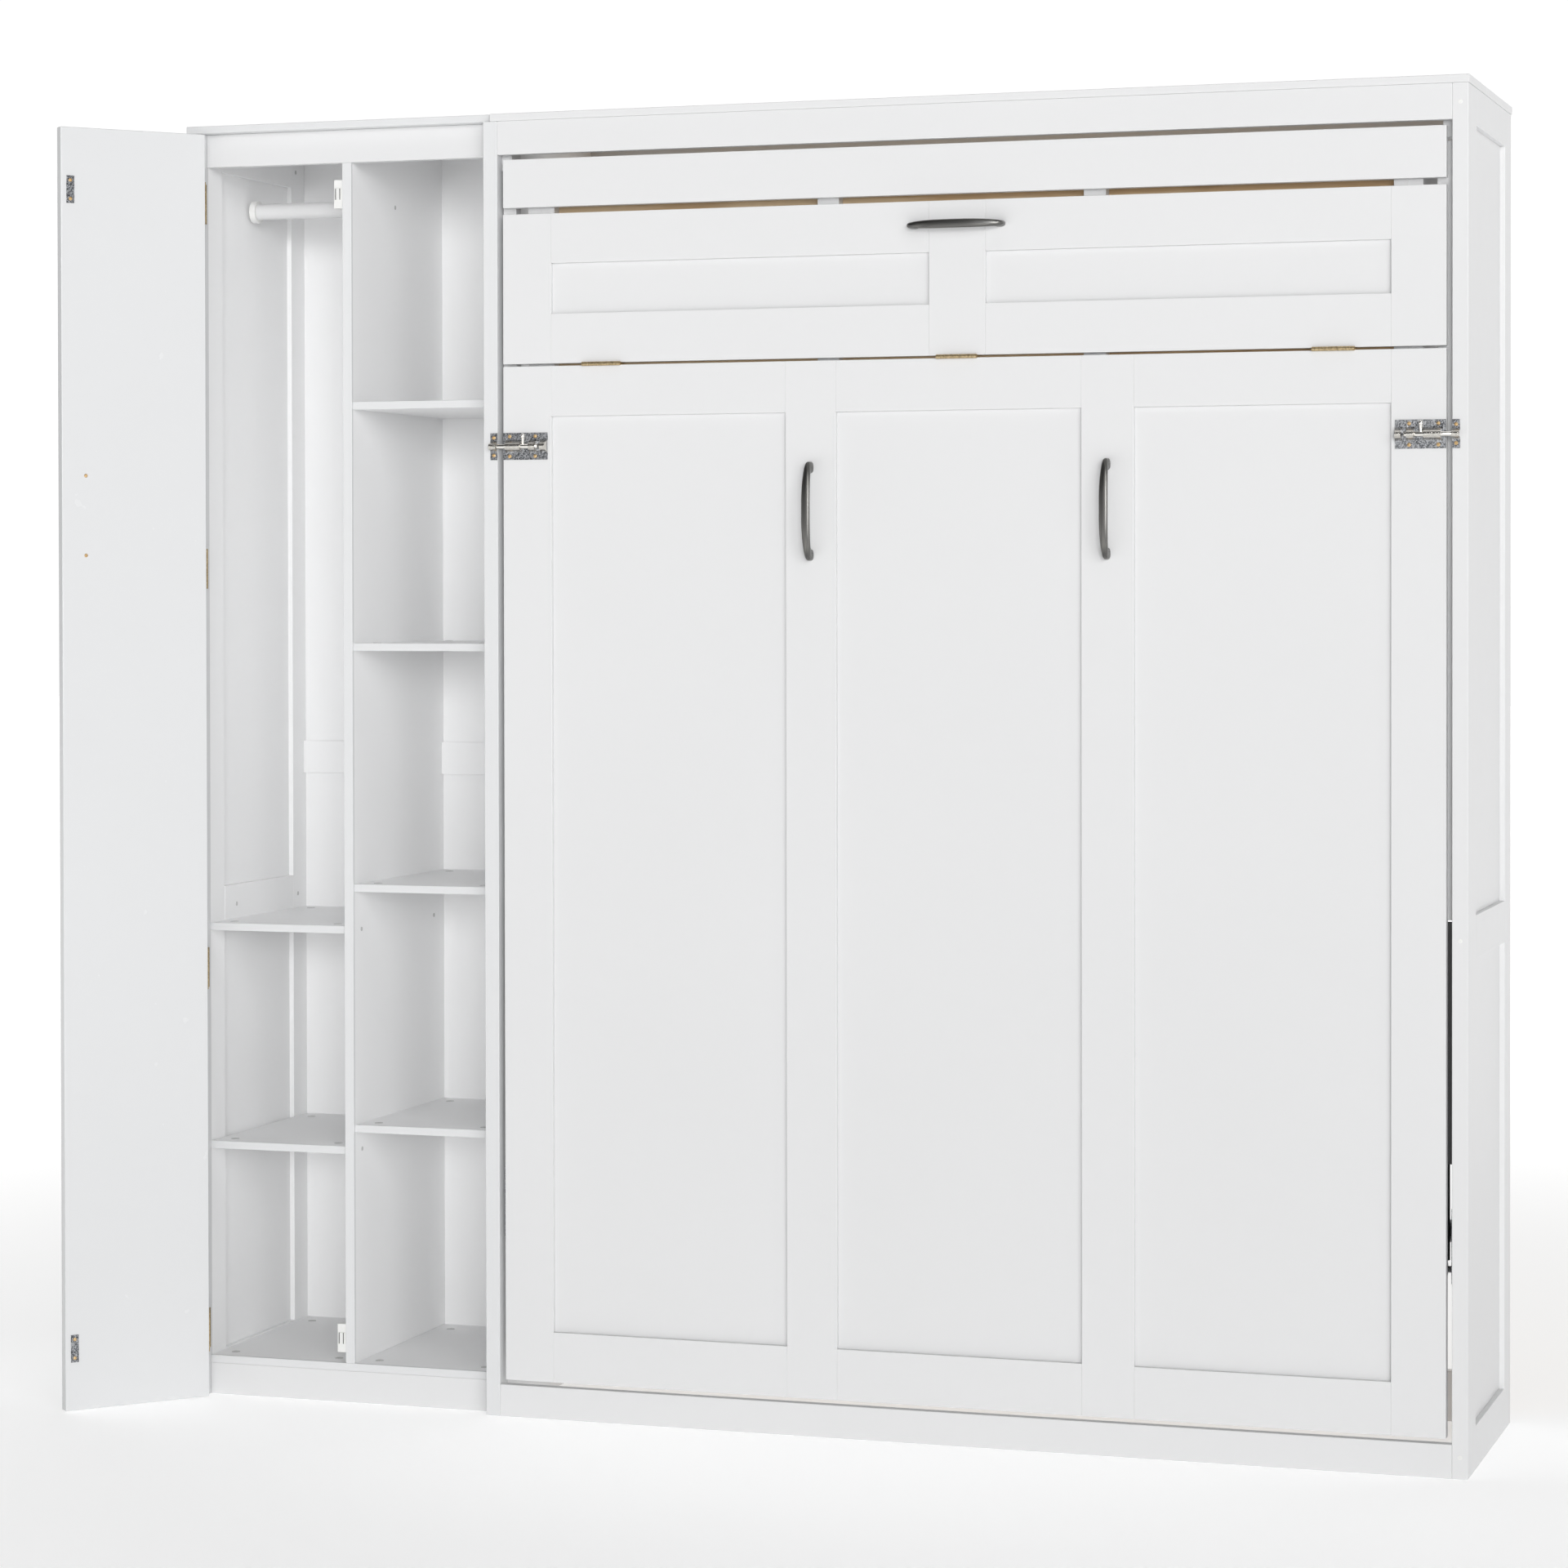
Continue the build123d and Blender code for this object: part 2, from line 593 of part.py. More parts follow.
def fixed_screws():
    """Screw heads on the two bolt keepers."""
    keeper_x = INNER_X + KEEPER_W / 2
    return group(heads([(s * keeper_x, -1.2, BOLT_Z + dz) for s in (-1, 1) for dz in (-14, 14)], 3.0))


def bed_screws():
    """Screw heads on the two bolt plates."""
    spots = [
        (bolt_x(s, offset), PANEL_D - 1.5, BOLT_Z + dz)
        for s in (-1, 1) for offset in BOLT_SCREW_X for dz in (-BOLT_SCREW_Z, BOLT_SCREW_Z)
    ]
    return group(heads(spots, 3.0))


def shelf(x0, x1, z):
    """One wardrobe shelf."""
    return board(x0, x1, SHELF_D, BACK_D, z, z + BOARD_T)


PARTS = {
    "bed_top_board": board(-BED_X + SIDE_T / 2, BED_X + 2, -2, DEPTH, CEILING, HEIGHT),
    "wardrobe_top_board": board(OUTER_X - 2, -BED_X + SIDE_T / 2, WARDROBE_D - 2, DEPTH, CEILING, HEIGHT),
    "right_front_post": front_post(INNER_X, 0),
    "right_side_frame": side_frame(INNER_X, BACK_STILE_W, 0),
    "right_side_panels": side_panels(INNER_X, BACK_STILE_W, 0),
    "middle_front_post": front_post(-BED_X, 0),
    "middle_side_frame": side_frame(-BED_X, BACK_STILE_W, 0),
    "middle_side_panels": side_panels(-BED_X, BACK_STILE_W, 0),
    "left_front_post": front_post(OUTER_X, WARDROBE_D),
    "left_side_frame": side_frame(OUTER_X, LEFT_BACK_STILE_W, WARDROBE_D),
    "left_side_panels": side_panels(OUTER_X, LEFT_BACK_STILE_W, WARDROBE_D),
    "bed_top_front_rail": board(-INNER_X, INNER_X, 0, RAIL_T, CEILING - FRONT_TOP_RAIL_H, CEILING),
    "bed_bottom_front_rail": board(-INNER_X, INNER_X, 0, RAIL_T, 0, FRONT_BOTTOM_RAIL_H),
    "wardrobe_top_rail": board(LEFT_X, -BED_X, BAY_D, BAY_D + RAIL_T, CEILING - FRONT_TOP_RAIL_H, CEILING),
    "wardrobe_bottom_rail": board(LEFT_X, -BED_X, BAY_D, BAY_D + RAIL_T, 0, FRONT_BOTTOM_RAIL_H),
    "wardrobe_floor": board(LEFT_X, -BED_X, BAY_D, BACK_D, FRONT_BOTTOM_RAIL_H, FLOOR_Z),
    "divider": divider(),
    "wardrobe_back": wardrobe_back(),
    "closet_rod": bar((LEFT_X + 3, ROD_D, ROD_Z), (DIVIDER_X - DIVIDER_T / 2 - 3, ROD_D, ROD_Z), ROD_R),
    "rod_sockets": rod_sockets(),
    "magnetic_catches": catches(),
    "wall_rail": wall_rail(),
    "bottom_back_rail": board(-INNER_X, INNER_X, DEPTH - 20, DEPTH, 0, 80),
    "pivot_plates": group([pivot_plate(-1), pivot_plate(1)]),
    "strut_feet": group([strut_foot(-1), strut_foot(1)]),
    "bolt_keepers": group([keeper(-1), keeper(1)]),
    "corner_stops": group(board(s * (INNER_X - 17), s * INNER_X, 21, 60, 1990, 2030) for s in (-1, 1)),
    "door_frame_hinges": door_hinges(1, True),
    "keeper_screws": fixed_screws(),
    "front_frame": front_frame(),
    "front_insets": front_insets(),
    "foot_board": board(-PANEL_X, PANEL_X, PANEL_D, FRAME_D, FOOT_BOARD_Z0, FOOT_BOARD_Z1),
    "left_bed_rail": bed_rail(-1),
    "right_bed_rail": bed_rail(1),
    "bed_end_rails": end_rails(),
    "slat_supports": slat_supports(),
    "slats": slats(),
    "pivot_bolts": group([pivot_bolt(-1), pivot_bolt(1)]),
    "strut_heads": group([strut_head(-1), strut_head(1), strut_guard(-1), strut_guard(1)]),
    "bolt_housings": group([bolt_housing(-1), bolt_housing(1)]),
    "bolt_plate_screws": bed_screws(),
    "bed_leg_hinges": leg_hinges(-1, True),
    "leg_frame": leg_frame(),
    "leg_insets": leg_insets(),
    "leg_hinges": leg_hinges(1, False),
    "leg_pull": Pos(0, PANEL_D - DEPTH, LEG_PULL_Z) * pull(),
    "left_bolt": bolt(-1),
    "right_bolt": bolt(1),
    "left_strut_tube": strut_tube(-1),
    "right_strut_tube": strut_tube(1),
    "left_strut_rod": strut_rod(-1),
    "right_strut_rod": strut_rod(1),
    "wardrobe_door": at_door(door()),
    "door_hinges": at_door(door_hinges(-1, False)),
    "door_strikes": at_door(strikes()),
    "door_screws": at_door(door_screws()),
    "door_pull": at_door(Pos(DIVIDER_X - 40, WARDROBE_D - DEPTH, DOOR_PULL_Z) * upright_pull()),
}

pull_x = (2 * PANEL_X - STILE_W) / 6
PARTS["front_pulls"] = group(Pos(s * pull_x, PANEL_D - DEPTH, PULL_Z) * upright_pull() for s in (-1, 1))

bay_x0 = DIVIDER_X + DIVIDER_T / 2
PARTS["right_shelves"] = group(
    shelf(bay_x0, -BED_X, RIGHT_SHELF_Z + i * RIGHT_SHELF_PITCH) for i in range(RIGHT_SHELF_COUNT)
)
PARTS["left_shelves"] = group(shelf(LEFT_X, DIVIDER_X - DIVIDER_T / 2, z) for z in LEFT_SHELF_Z)

os.makedirs("parts", exist_ok=True)
for node, shape in PARTS.items():
    export_step(shape, f"parts/{node}.step")

print(len(PARTS), "nodes; pivot height", round(PIVOT_Z, 1), "bed width", BED_W)
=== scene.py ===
import json
import math
import bpy
import numpy as np
from mathutils import Matrix, Vector


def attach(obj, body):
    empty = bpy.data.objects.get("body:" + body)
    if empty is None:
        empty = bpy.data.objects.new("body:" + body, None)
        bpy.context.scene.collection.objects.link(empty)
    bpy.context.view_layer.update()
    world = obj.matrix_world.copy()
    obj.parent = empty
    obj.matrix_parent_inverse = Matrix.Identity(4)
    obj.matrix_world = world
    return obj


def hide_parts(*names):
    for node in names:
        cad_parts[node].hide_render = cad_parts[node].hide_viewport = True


# Looks of the wall bed and its wardrobe, in metres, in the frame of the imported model:
# X to the viewer's right, +Y towards the wall, +Z up, origin on the floor at the wall line.

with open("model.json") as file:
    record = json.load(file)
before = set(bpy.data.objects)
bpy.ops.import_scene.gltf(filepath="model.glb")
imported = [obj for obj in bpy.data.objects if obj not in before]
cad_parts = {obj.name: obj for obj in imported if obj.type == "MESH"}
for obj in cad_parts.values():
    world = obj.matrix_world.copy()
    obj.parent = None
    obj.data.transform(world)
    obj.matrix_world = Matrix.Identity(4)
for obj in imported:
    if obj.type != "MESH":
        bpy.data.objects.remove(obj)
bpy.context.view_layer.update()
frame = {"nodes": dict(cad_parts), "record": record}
nodes = frame["nodes"]
body_of_node = {
    node: body for body, members in frame["record"]["behaviour"]["bodies"].items() for node in members
}
slot_of_node = {part["node"]: part["material_slot"] for part in frame["record"]["subparts"]}

MM = 0.001


# ---------------------------------------------------------------- shader writing
class Wire:
    """One output of a shader node. Arithmetic on it adds Math nodes to its material."""

    def __init__(self, tree, socket):
        self.tree = tree
        self.socket = socket

    def maths(self, operation, first, second):
        node = self.tree.nodes.new("ShaderNodeMath")
        node.operation = operation
        for place, value in enumerate((first, second)):
            if isinstance(value, Wire):
                self.tree.links.new(value.socket, node.inputs[place])
            else:
                node.inputs[place].default_value = value
        return Wire(self.tree, node.outputs[0])

    def __add__(self, other):
        return self.maths("ADD", self, other)

    def __radd__(self, other):
        return self.maths("ADD", other, self)

    def __sub__(self, other):
        return self.maths("SUBTRACT", self, other)

    def __rsub__(self, other):
        return self.maths("SUBTRACT", other, self)

    def __mul__(self, other):
        return self.maths("MULTIPLY", self, other)

    def __rmul__(self, other):
        return self.maths("MULTIPLY", other, self)

    def __truediv__(self, other):
        return self.maths("DIVIDE", self, other)

    def __pow__(self, other):
        return self.maths("POWER", self, other)


class Finish:
    """A material being written: its tree, its shader and short names for the nodes used here."""

    def __init__(self, name, **constants):
        self.material = bpy.data.materials.new(name)
        self.material.use_nodes = True
        self.tree = self.material.node_tree
        self.shader = self.tree.nodes["Principled BSDF"]
        for socket, value in constants.items():
            self.shader.inputs[socket.replace("_", " ")].default_value = value

    def node(self, kind, settings=None, **inputs):
        """A node of any type: its settings come first, then the values or links of its sockets."""
        made = self.tree.nodes.new(kind)
        for name, value in (settings or {}).items():
            setattr(made, name, value)
        for name, value in inputs.items():
            self.feed(made.inputs[name.replace("_", " ")], value)
        return made

    def feed(self, socket, value):
        if isinstance(value, Wire):
            self.tree.links.new(value.socket, socket)
        else:
            socket.default_value = value

    def out(self, made, name):
        return Wire(self.tree, made.outputs[name])

    def place(self, stretch=(1, 1, 1), source="Object"):
        """Object or UV coordinates, each axis multiplied by its own stretch."""
        where = self.node("ShaderNodeTexCoord")
        turned = self.node("ShaderNodeMapping", Vector=self.out(where, source), Scale=stretch)
        return self.out(turned, "Vector")

    def noise(self, at, scale, detail=2.0, rough=0.5, warp=0.0):
        made = self.node("ShaderNodeTexNoise", Vector=at, Scale=scale, Detail=detail, Roughness=rough, Distortion=warp)
        return self.out(made, "Fac")

    def cells(self, at, scale, what="Color"):
        made = self.node("ShaderNodeTexVoronoi", Vector=at, Scale=scale)
        return self.out(made, what)

    def grey(self, colour):
        made = self.node("ShaderNodeRGBToBW", Color=colour)
        return self.out(made, "Val")

    def step(self, value, low, high):
        """0 below low, 1 above high and smooth between."""
        made = self.node("ShaderNodeMapRange", {"interpolation_type": "SMOOTHSTEP"})
        for socket, given in zip(("Value", "From Min", "From Max"), (value, low, high)):
            self.feed(made.inputs[socket], given)
        return self.out(made, "Result")

    def blend(self, share, first, second):
        """Colour first where share is 0 and colour second where it is 1."""
        made = self.node("ShaderNodeMix", {"data_type": "RGBA"})
        self.feed(made.inputs[0], share)
        for socket, colour in ((made.inputs[6], first), (made.inputs[7], second)):
            self.feed(socket, colour if isinstance(colour, Wire) else (*colour, 1.0))
        return Wire(self.tree, made.outputs[2])

    def bump(self, height, distance, strength=1.0):
        made = self.node("ShaderNodeBump", Height=height, Distance=distance, Strength=strength)
        self.feed(self.shader.inputs["Normal"], self.out(made, "Normal"))

    def set(self, **values):
        for socket, value in values.items():
            self.feed(self.shader.inputs[socket.replace("_", " ")], value)
        return self.material


# ---------------------------------------------------------------- finishes
def satin_paint(name, tone, gloss, weave=0.0, front_edge_tone=None):
    """Sprayed satin white: a faint drift of tone, a fine orange peel, and a canvas-like lay if weave is set.

    With a front edge tone, whatever lies further forward than the bays' front edges has that tone, which keeps a tone
    painted brighter as fill light off the lit front edges."""
    paint = Finish(name, IOR=1.46)
    at = paint.place()
    drift = paint.noise(at, 2.3, detail=1.0)
    peel = paint.noise(at, 620.0, detail=1.0)
    swell = paint.noise(at, 95.0, detail=2.0)
    height = peel * 0.5 + swell * 0.5
    if weave:
        across = paint.noise(paint.place((420.0, 420.0, 34.0)), 1.0, detail=1.0)
        along = paint.noise(paint.place((30.0, 30.0, 460.0)), 1.0, detail=1.0)
        height = height * 0.4 + (across + along) * weave
    light = tuple(min(1.0, c * 1.012) for c in tone)
    dark = tuple(c * 0.985 for c in tone)
    colour = paint.blend(drift, dark, light)
    # front edges keep this tone; behind them the given tone, for the inner parts a white painted brighter as fill
    # light
    if front_edge_tone:
        depth = paint.out(paint.node("ShaderNodeSeparateXYZ", Vector=at), "Y")
        colour = paint.blend(paint.step(depth, -0.4075, -0.4065), front_edge_tone, colour)
    paint.bump(height, 0.00010, 0.35)
    return paint.set(Base_Color=colour, Roughness=gloss + 0.10 * paint.noise(at, 38.0, detail=3.0))


def bare_pine():
    """Planed pine: long grain drawn out along X, soft growth bands and a few knots."""
    wood = Finish("bare_pine", IOR=1.45)
    lengthwise = wood.place((1.1, 26.0, 26.0))
    band = wood.noise(lengthwise, 2.2, detail=3.0, warp=0.8)
    fibre = wood.noise(wood.place((9.0, 420.0, 420.0)), 1.0, detail=2.0)
    knot = 1.0 - wood.step(wood.cells(wood.place((1.6, 9.0, 7.0)), 1.4, "Distance"), 0.05, 0.13)
    rings = wood.step(band, 0.40, 0.62)
    early = wood.blend(rings, (0.66, 0.46, 0.26), (0.83, 0.66, 0.44))
    grained = wood.blend(fibre * 0.35, early, (0.55, 0.36, 0.19))
    wood.bump(fibre * 0.6 + band * 0.4, 0.0002, 0.4)
    return wood.set(
        Base_Color=wood.blend(knot * 0.75, grained, (0.30, 0.15, 0.07)),
        Roughness=0.50 + 0.18 * fibre,
    )


def brushed_pewter():
    """Dark brushed metal: fine lines along the pull, worn lighter in long streaks."""
    metal = Finish("brushed_pewter", Metallic=1.0)
    lines = metal.noise(metal.place((3.0, 90.0, 1.0), "UV"), 4.0, detail=3.0)
    streak = metal.step(metal.noise(metal.place((2.0, 10.0, 1.0), "UV"), 3.0, detail=2.0), 0.35, 0.75)
    metal.bump(lines, 0.00008, 0.55)
    return metal.set(
        Base_Color=metal.blend(streak, (0.115, 0.115, 0.112), (0.235, 0.23, 0.215)),
        Roughness=0.26 + 0.18 * lines,
    )


def spangled_zinc():
    """Galvanised sheet: crystal patches that each take the light a little differently, with a painted cream highlight
    and a smoother finish where the sheet stands up, which its UV tells."""
    metal = Finish("spangled_zinc", Metallic=1.0)
    at = metal.place()
    patch = metal.grey(metal.cells(at, 620.0))
    small = metal.grey(metal.cells(at, 1350.0))
    grain = patch * 0.6 + small * 0.4
    # painted highlight: the cream tone on the raised flanks stands for the bright floor's reflection
    painted_highlight_lift = metal.out(metal.node("ShaderNodeSeparateXYZ", Vector=metal.place(source="UV")), "X")
    metal.bump(grain + metal.noise(at, 900.0) * 0.3, 0.0003, 0.5)
    plain = metal.blend(metal.step(grain, 0.30, 0.72), (0.075, 0.080, 0.088), (0.50, 0.51, 0.53))
    return metal.set(
        Base_Color=metal.blend(painted_highlight_lift * 0.75, plain, (0.74, 0.71, 0.65)),
        Roughness=0.24 + 0.26 * small * (1.0 - painted_highlight_lift),
    )


def bright_nickel():
    """Polished rod with faint turning marks and small handling marks."""
    metal = Finish("bright_nickel", Metallic=1.0)
    at = metal.place()
    turned = metal.noise(metal.place((2600.0, 200.0, 200.0)), 1.0)
    marks = metal.step(metal.noise(at, 240.0, detail=3.0), 0.5, 0.8)
    metal.bump(turned, 0.00003, 0.3)
    return metal.set(
        Base_Color=metal.blend(marks, (0.86, 0.84, 0.80), (0.70, 0.67, 0.62)),
        Roughness=0.13 + 0.15 * marks,
    )


def plated(name, low, high, rough):
    """Plated steel: mottled tone between two colours, with fine pitting."""
    metal = Finish(name, Metallic=1.0)
    at = metal.place()
    mottle = metal.noise(at, 330.0, detail=4.0, rough=0.6)
    pits = metal.noise(at, 1900.0, detail=1.0)
    metal.bump(pits * 0.6 + mottle * 0.4, 0.00008, 0.5)
    return metal.set(Base_Color=metal.blend(metal.step(mottle, 0.3, 0.7), low, high), Roughness=rough + 0.15 * pits)


def moulded_plastic(name, low, high):
    """Moulded plastic: fine spark-eroded grain and a slight drift between two tones."""
    plastic = Finish(name, IOR=1.49)
    at = plastic.place()
    grain = plastic.noise(at, 1500.0, detail=1.0)
    plastic.bump(grain, 0.00006, 0.4)
    return plastic.set(Base_Color=plastic.blend(plastic.noise(at, 60.0), low, high), Roughness=0.38 + 0.12 * grain)


def gloss_enamel():
    """Black stove enamel with a slight orange peel and dust-dulled patches."""
    enamel = Finish("gloss_enamel", IOR=1.5)
    at = enamel.place()
    dust = enamel.noise(at, 70.0, detail=4.0)
    enamel.bump(enamel.noise(at, 500.0), 0.00005, 0.3)
    return enamel.set(Base_Color=enamel.blend(dust, (0.012, 0.012, 0.013), (0.035, 0.035, 0.037)), Roughness=0.20 + 0.25 * dust)


def pale_floor():
    """Plain pale studio floor that glows a little, more so far from the object, to meet the white surround."""
    floor = Finish("pale_floor", IOR=1.3, Emission_Strength=0.70)
    at = floor.place()
    drift = floor.noise(at, 0.6)
    away = floor.node("ShaderNodeVectorMath", {"operation": "LENGTH"})
    floor.feed(away.inputs[0], at)
    far = floor.step(floor.out(away, "Value"), 1.2, 5.0)
    return floor.set(
        Base_Color=floor.blend(drift, (0.90, 0.90, 0.90), (0.93, 0.93, 0.93)),
        Emission_Color=floor.blend(far, (0.55, 0.55, 0.55), (1.0, 1.0, 1.0)),
        Roughness=0.75 + 0.1 * drift,
    )


WHITE = (0.755, 0.757, 0.761)
DOOR_WHITE = (0.735, 0.741, 0.748)
# painted fill light: a much brighter copy of the white paint for the inner parts, lifting the shade inside the bays
PAINTED_FILL_WHITE = (0.940, 0.942, 0.946)
finishes = {
    "painted_wood": satin_paint("satin_paint", WHITE, 0.36),
    "pine": bare_pine(),
    "pewter": brushed_pewter(),
    "zinc": spangled_zinc(),
    "polished_steel": bright_nickel(),
    "bronze": plated("tan_plate", (0.36, 0.27, 0.15), (0.66, 0.52, 0.31), 0.30),
    "brass": plated("yellow_plate", (0.55, 0.36, 0.17), (0.86, 0.64, 0.36), 0.26),
    "white_plastic": moulded_plastic("moulded_plastic", (0.80, 0.80, 0.78), (0.86, 0.86, 0.85)),
    "black_enamel": gloss_enamel(),
}
door_paint = satin_paint("door_paint", DOOR_WHITE, 0.20, weave=0.30)
# painted fill light: the inner parts take the white painted brighter against the shade in the bays, their front edges
# the door's tone
painted_fill_board = satin_paint("painted_fill_board", PAINTED_FILL_WHITE, 0.42, front_edge_tone=DOOR_WHITE)
INSIDE = """right_shelves left_shelves wardrobe_floor wardrobe_back divider middle_side_frame middle_side_panels
    left_side_frame left_side_panels wardrobe_top_board left_front_post middle_front_post""".split()


# ---------------------------------------------------------------- mesh making
def piece(name, points, faces, material, body, slot, stands_for=(), normals=None, uv=None):
    """A finished piece at the origin: smooth faces, its material, the body it rides on and what it stands for."""
    mesh = bpy.data.meshes.new(name)
    mesh.from_pydata(np.asarray(points).tolist(), [], [list(face) for face in faces])
    mesh.shade_smooth()
    if uv is not None:
        layer = mesh.uv_layers.new(name="along")
        corner = np.empty(len(mesh.loops), int)
        mesh.loops.foreach_get("vertex_index", corner)
        layer.data.foreach_set("uv", np.asarray(uv, np.float32)[corner].ravel())
    if normals is not None:
        mesh.validate()
        mesh.update()
        mesh.normals_split_custom_set_from_vertices(np.asarray(normals).tolist())
    mesh.materials.append(material)
    made = bpy.data.objects.new(name, mesh)
    bpy.context.scene.collection.objects.link(made)
    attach(made, body)
    if stands_for:
        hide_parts(*stands_for)
    return made


def quads(rows, columns, closed_rows=False, closed_columns=False):
    """Faces of a grid numbered row by row, as an array of four corners each."""
    i, j = np.meshgrid(np.arange(rows - (not closed_rows)), np.arange(columns - (not closed_columns)), indexing="ij")
    next_i, next_j = (i + 1) % rows, (j + 1) % columns
    corners = [i * columns + j, next_i * columns + j, next_i * columns + next_j, i * columns + next_j]
    return np.stack([c.ravel() for c in corners], axis=1)


def joined(parts):
    """Several (points, faces, extra) sets as one, with the faces of each counted on from the last."""
    start = np.cumsum([0] + [len(p[0]) for p in parts[:-1]])
    points = np.vstack([p[0] for p in parts])
    faces = np.vstack([p[1] + s for p, s in zip(parts, start)])
    extra = np.vstack([p[2] for p in parts])
    return points, faces, extra


# ---------------------------------------------------------------- boards
def boards_in(node):
    """Centre, face directions and half sizes of each plain board in a CAD node, 24 corners to a board."""
    mesh = nodes[node].data
    place = np.empty(len(mesh.vertices) * 3)
    mesh.vertices.foreach_get("co", place)
    facing = np.empty(len(mesh.vertices) * 3)
    mesh.vertex_normals.foreach_get("vector", facing)
    for corners, outward in zip(place.reshape(-1, 24, 3), facing.reshape(-1, 24, 3)):
        one = outward[0]
        two = outward[np.abs(outward @ one).argmin()]
        axes = np.stack([one, two, np.cross(one, two)])
        axes /= np.linalg.norm(axes, axis=1)[:, None]
        centre = (corners.min(0) + corners.max(0)) / 2
        yield centre, axes, np.abs((corners - centre) @ axes.T).max(0)


def eased_board(centre, axes, half, radius, steps=2):
    """A board whose edges are rounded: each point is the corner of the board shrunk by the radius, plus
    the radius along a direction that turns evenly from one face to the next."""
    radius = min(radius, half.min() * 0.45)
    turn = np.linspace(0, math.pi / 4, steps + 1)
    angle = np.concatenate([-turn[::-1], turn])
    sign = np.concatenate([-np.ones(steps + 1), np.ones(steps + 1)])
    u, v = np.meshgrid(np.tan(angle), np.tan(angle), indexing="ij")
    su, sv = np.meshgrid(sign, sign, indexing="ij")
    count = len(angle)
    parts = []
    for k in range(3):
        for side in (-1, 1):
            way = np.zeros((count, count, 3))
            core = np.zeros((count, count, 3))
            way[..., (k + 1) % 3], way[..., (k + 2) % 3], way[..., k] = u, v, side
            core[..., (k + 1) % 3], core[..., (k + 2) % 3], core[..., k] = su, sv, side
            way = (way / np.linalg.norm(way, axis=2)[..., None]).reshape(-1, 3)
            faces = quads(count, count)
            parts.append((core.reshape(-1, 3), faces if side > 0 else faces[:, ::-1], way))
    core, faces, way = joined(parts)
    same = np.round(np.hstack([core, way]), 5)
    found, first, index = np.unique(same, axis=0, return_index=True, return_inverse=True)
    core, way = core[first], way[first]
    return (core * (half - radius) + way * radius) @ axes + centre, index.ravel()[faces], way @ axes


def dress_boards(node, radius, material=None):
    """Eased boards in place of a CAD node's plain ones."""
    points, faces, normals = joined([eased_board(*block, radius) for block in boards_in(node)])
    slot = slot_of_node[node]
    return piece(
        f"{node}_eased", points, faces, material or finishes[slot], body_of_node[node], slot, (node,), normals
    )


EASE = {
    1.2 * MM: """right_front_post middle_front_post left_front_post bed_top_front_rail bed_bottom_front_rail
        wardrobe_top_rail wardrobe_bottom_rail foot_board bed_top_board wardrobe_top_board corner_stops""",
    0.8 * MM: """front_frame leg_frame right_side_frame middle_side_frame left_side_frame right_shelves
        left_shelves wardrobe_floor bottom_back_rail bed_end_rails slat_supports""",
    0.4 * MM: "front_insets leg_insets right_side_panels middle_side_panels left_side_panels wardrobe_back",
    1.6 * MM: "slats",
    0.3 * MM: "door_strikes",
}
# inner parts get the board painted brighter as fill light
for ease, names in EASE.items():
    for node in names.split():
        dress_boards(node, ease, painted_fill_board if node in INSIDE else None)
dress_boards("wardrobe_door", 1.5 * MM, door_paint)


# ---------------------------------------------------------------- CAD nodes that stay
def dress_node(node, ease=0.0):
    """A CAD node keeps its shape and gets its finish, with its sharp edges eased where ease is given."""
    made = nodes[node]
    made.data.materials.clear()
    # inner parts take the board painted brighter as fill light
    made.data.materials.append(painted_fill_board if node in INSIDE else finishes[slot_of_node[node]])
    if ease:
        weld = made.modifiers.new("weld", "WELD")
        weld.merge_threshold = 0.02 * MM
        bevel = made.modifiers.new("ease", "BEVEL")
        bevel.width = ease
        bevel.segments = 2
        bevel.limit_method = "ANGLE"
        bevel.angle_limit = math.radians(40)
        bevel.harden_normals = True


for node in nodes:
    if not nodes[node].hide_render:
        dress_node(node, {"divider": 0.8 * MM, "magnetic_catches": 0.4 * MM}.get(node, 0.0))


# ---------------------------------------------------------------- swept and turned pieces
def tube(rings):
    """Faces of a grid of rings, closed round each ring and capped at both ends.

    They are turned to point outwards: the first ring's area vector says which way round the rings run."""
    rows, around = rings.shape[:2]
    walls = quads(rows, around, closed_columns=True)[:, ::-1].tolist()
    faces = walls + [list(range(around))[::-1], list(range((rows - 1) * around, rows * around))]
    start = rings[0] - rings[0].mean(0)
    area = np.cross(start, np.roll(start, -1, axis=0)).sum(0)
    rightwards = area @ (rings[1].mean(0) - rings[0].mean(0)) > 0
    return faces if rightwards else [face[::-1] for face in faces]


def powered(wave, power):
    """|wave| to a power, with the sign of the wave."""
    return np.sign(wave) * np.abs(wave) ** power


def turned(profile, around=24):
    """Rings about X through (x, radius) points, from low x to high x."""
    angle = np.linspace(0, 2 * math.pi, around, endpoint=False)
    x, r = np.asarray(profile, float).T
    rings = np.stack(np.broadcast_arrays(x[:, None], r[:, None] * np.cos(angle), r[:, None] * np.sin(angle)), axis=2)
    return rings * MM


